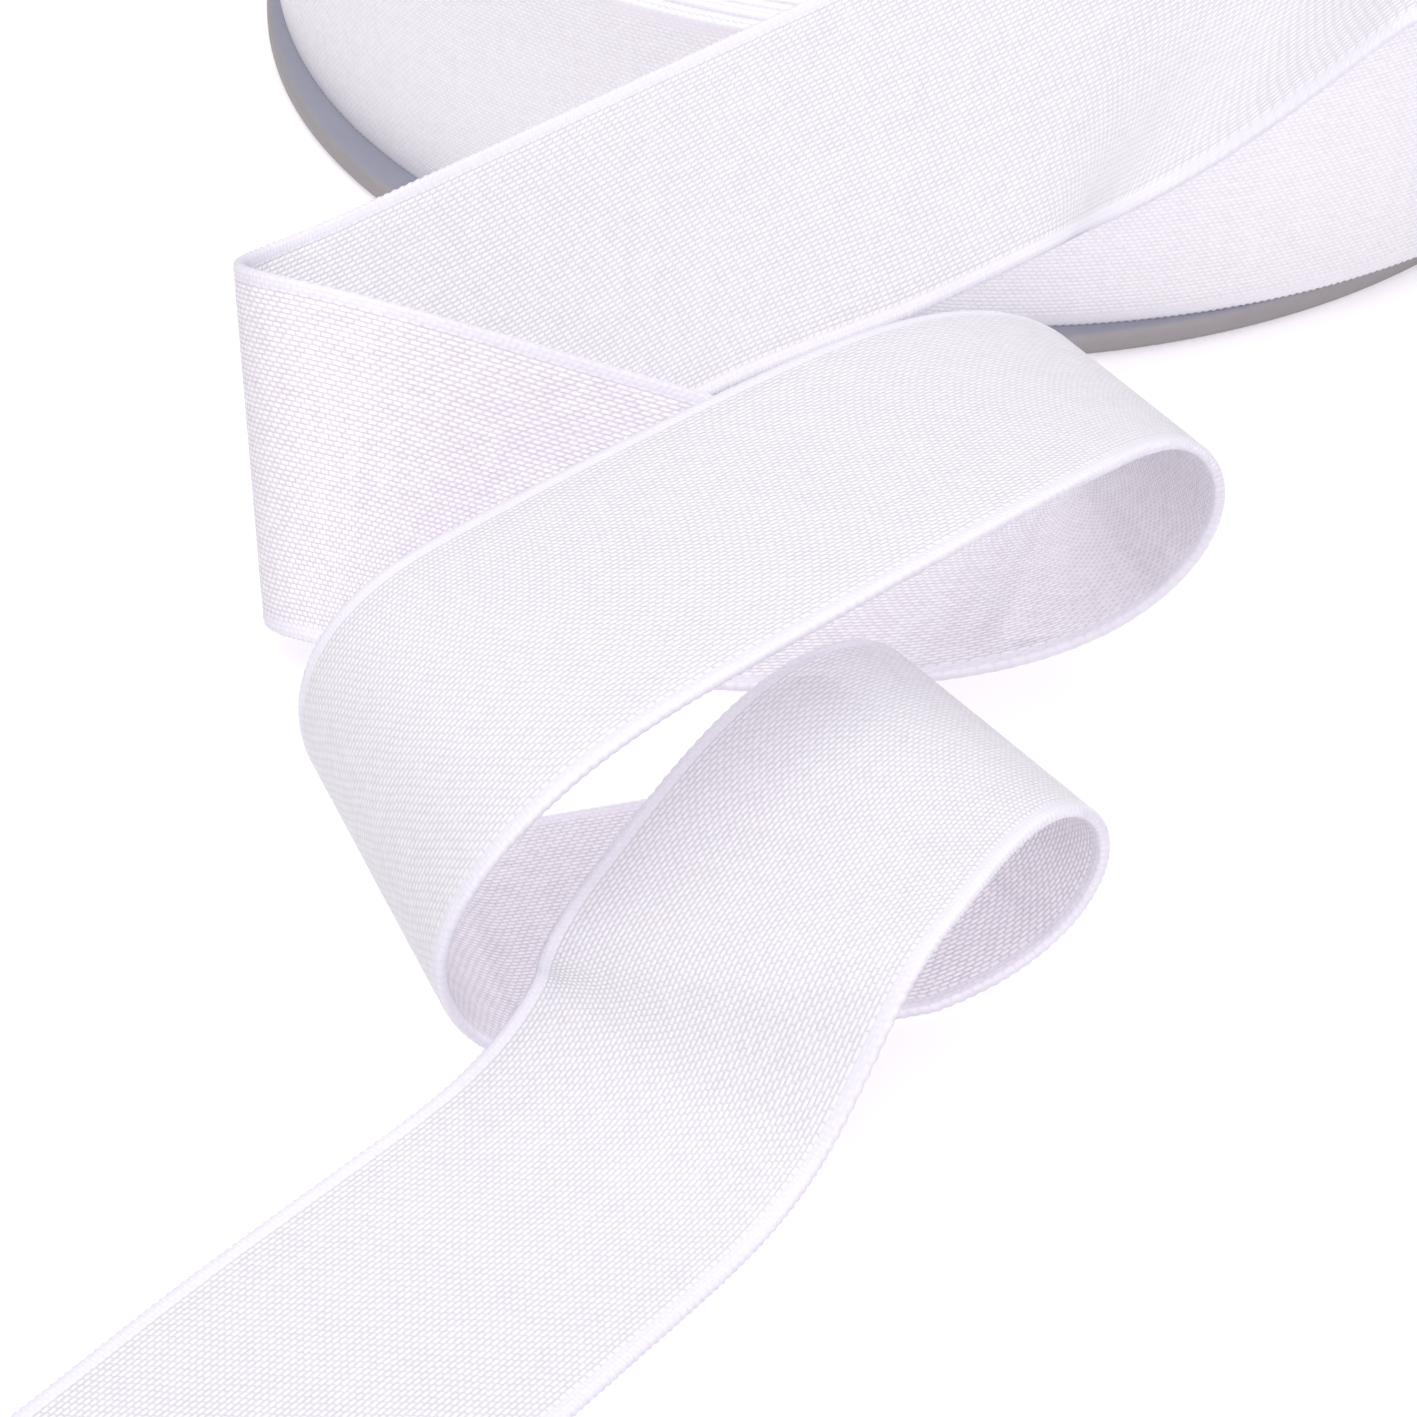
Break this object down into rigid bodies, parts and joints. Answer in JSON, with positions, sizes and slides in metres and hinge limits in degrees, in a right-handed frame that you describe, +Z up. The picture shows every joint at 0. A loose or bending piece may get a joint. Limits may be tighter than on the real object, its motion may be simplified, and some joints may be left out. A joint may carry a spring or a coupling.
{
  "type": "roll of elastic",
  "caption": "Wide satin elastic wound in a flat roll on a thin disc, its loose end folded in open loops and lying flat on the table.",
  "frame": {"origin": "on the table, under the middle of the whole part's box", "axes": "+Z up, along the roll's axis; +Y from the loose cut end towards the roll; +X to the right of someone who sits at the cut end"},
  "size_m": [0.1514, 0.267, 0.0502],
  "materials": {
    "flange": "smooth matt grey board or plastic",
    "wound_elastic": "woven satin elastic, near white with a faint lilac tint",
    "loose_elastic": "woven satin elastic, near white with a faint lilac tint"
  },
  "bodies": {
    "root": {"flange": "flange", "wound_roll": "wound_elastic", "loose_tape": "loose_elastic"}
  },
  "joints": []
}
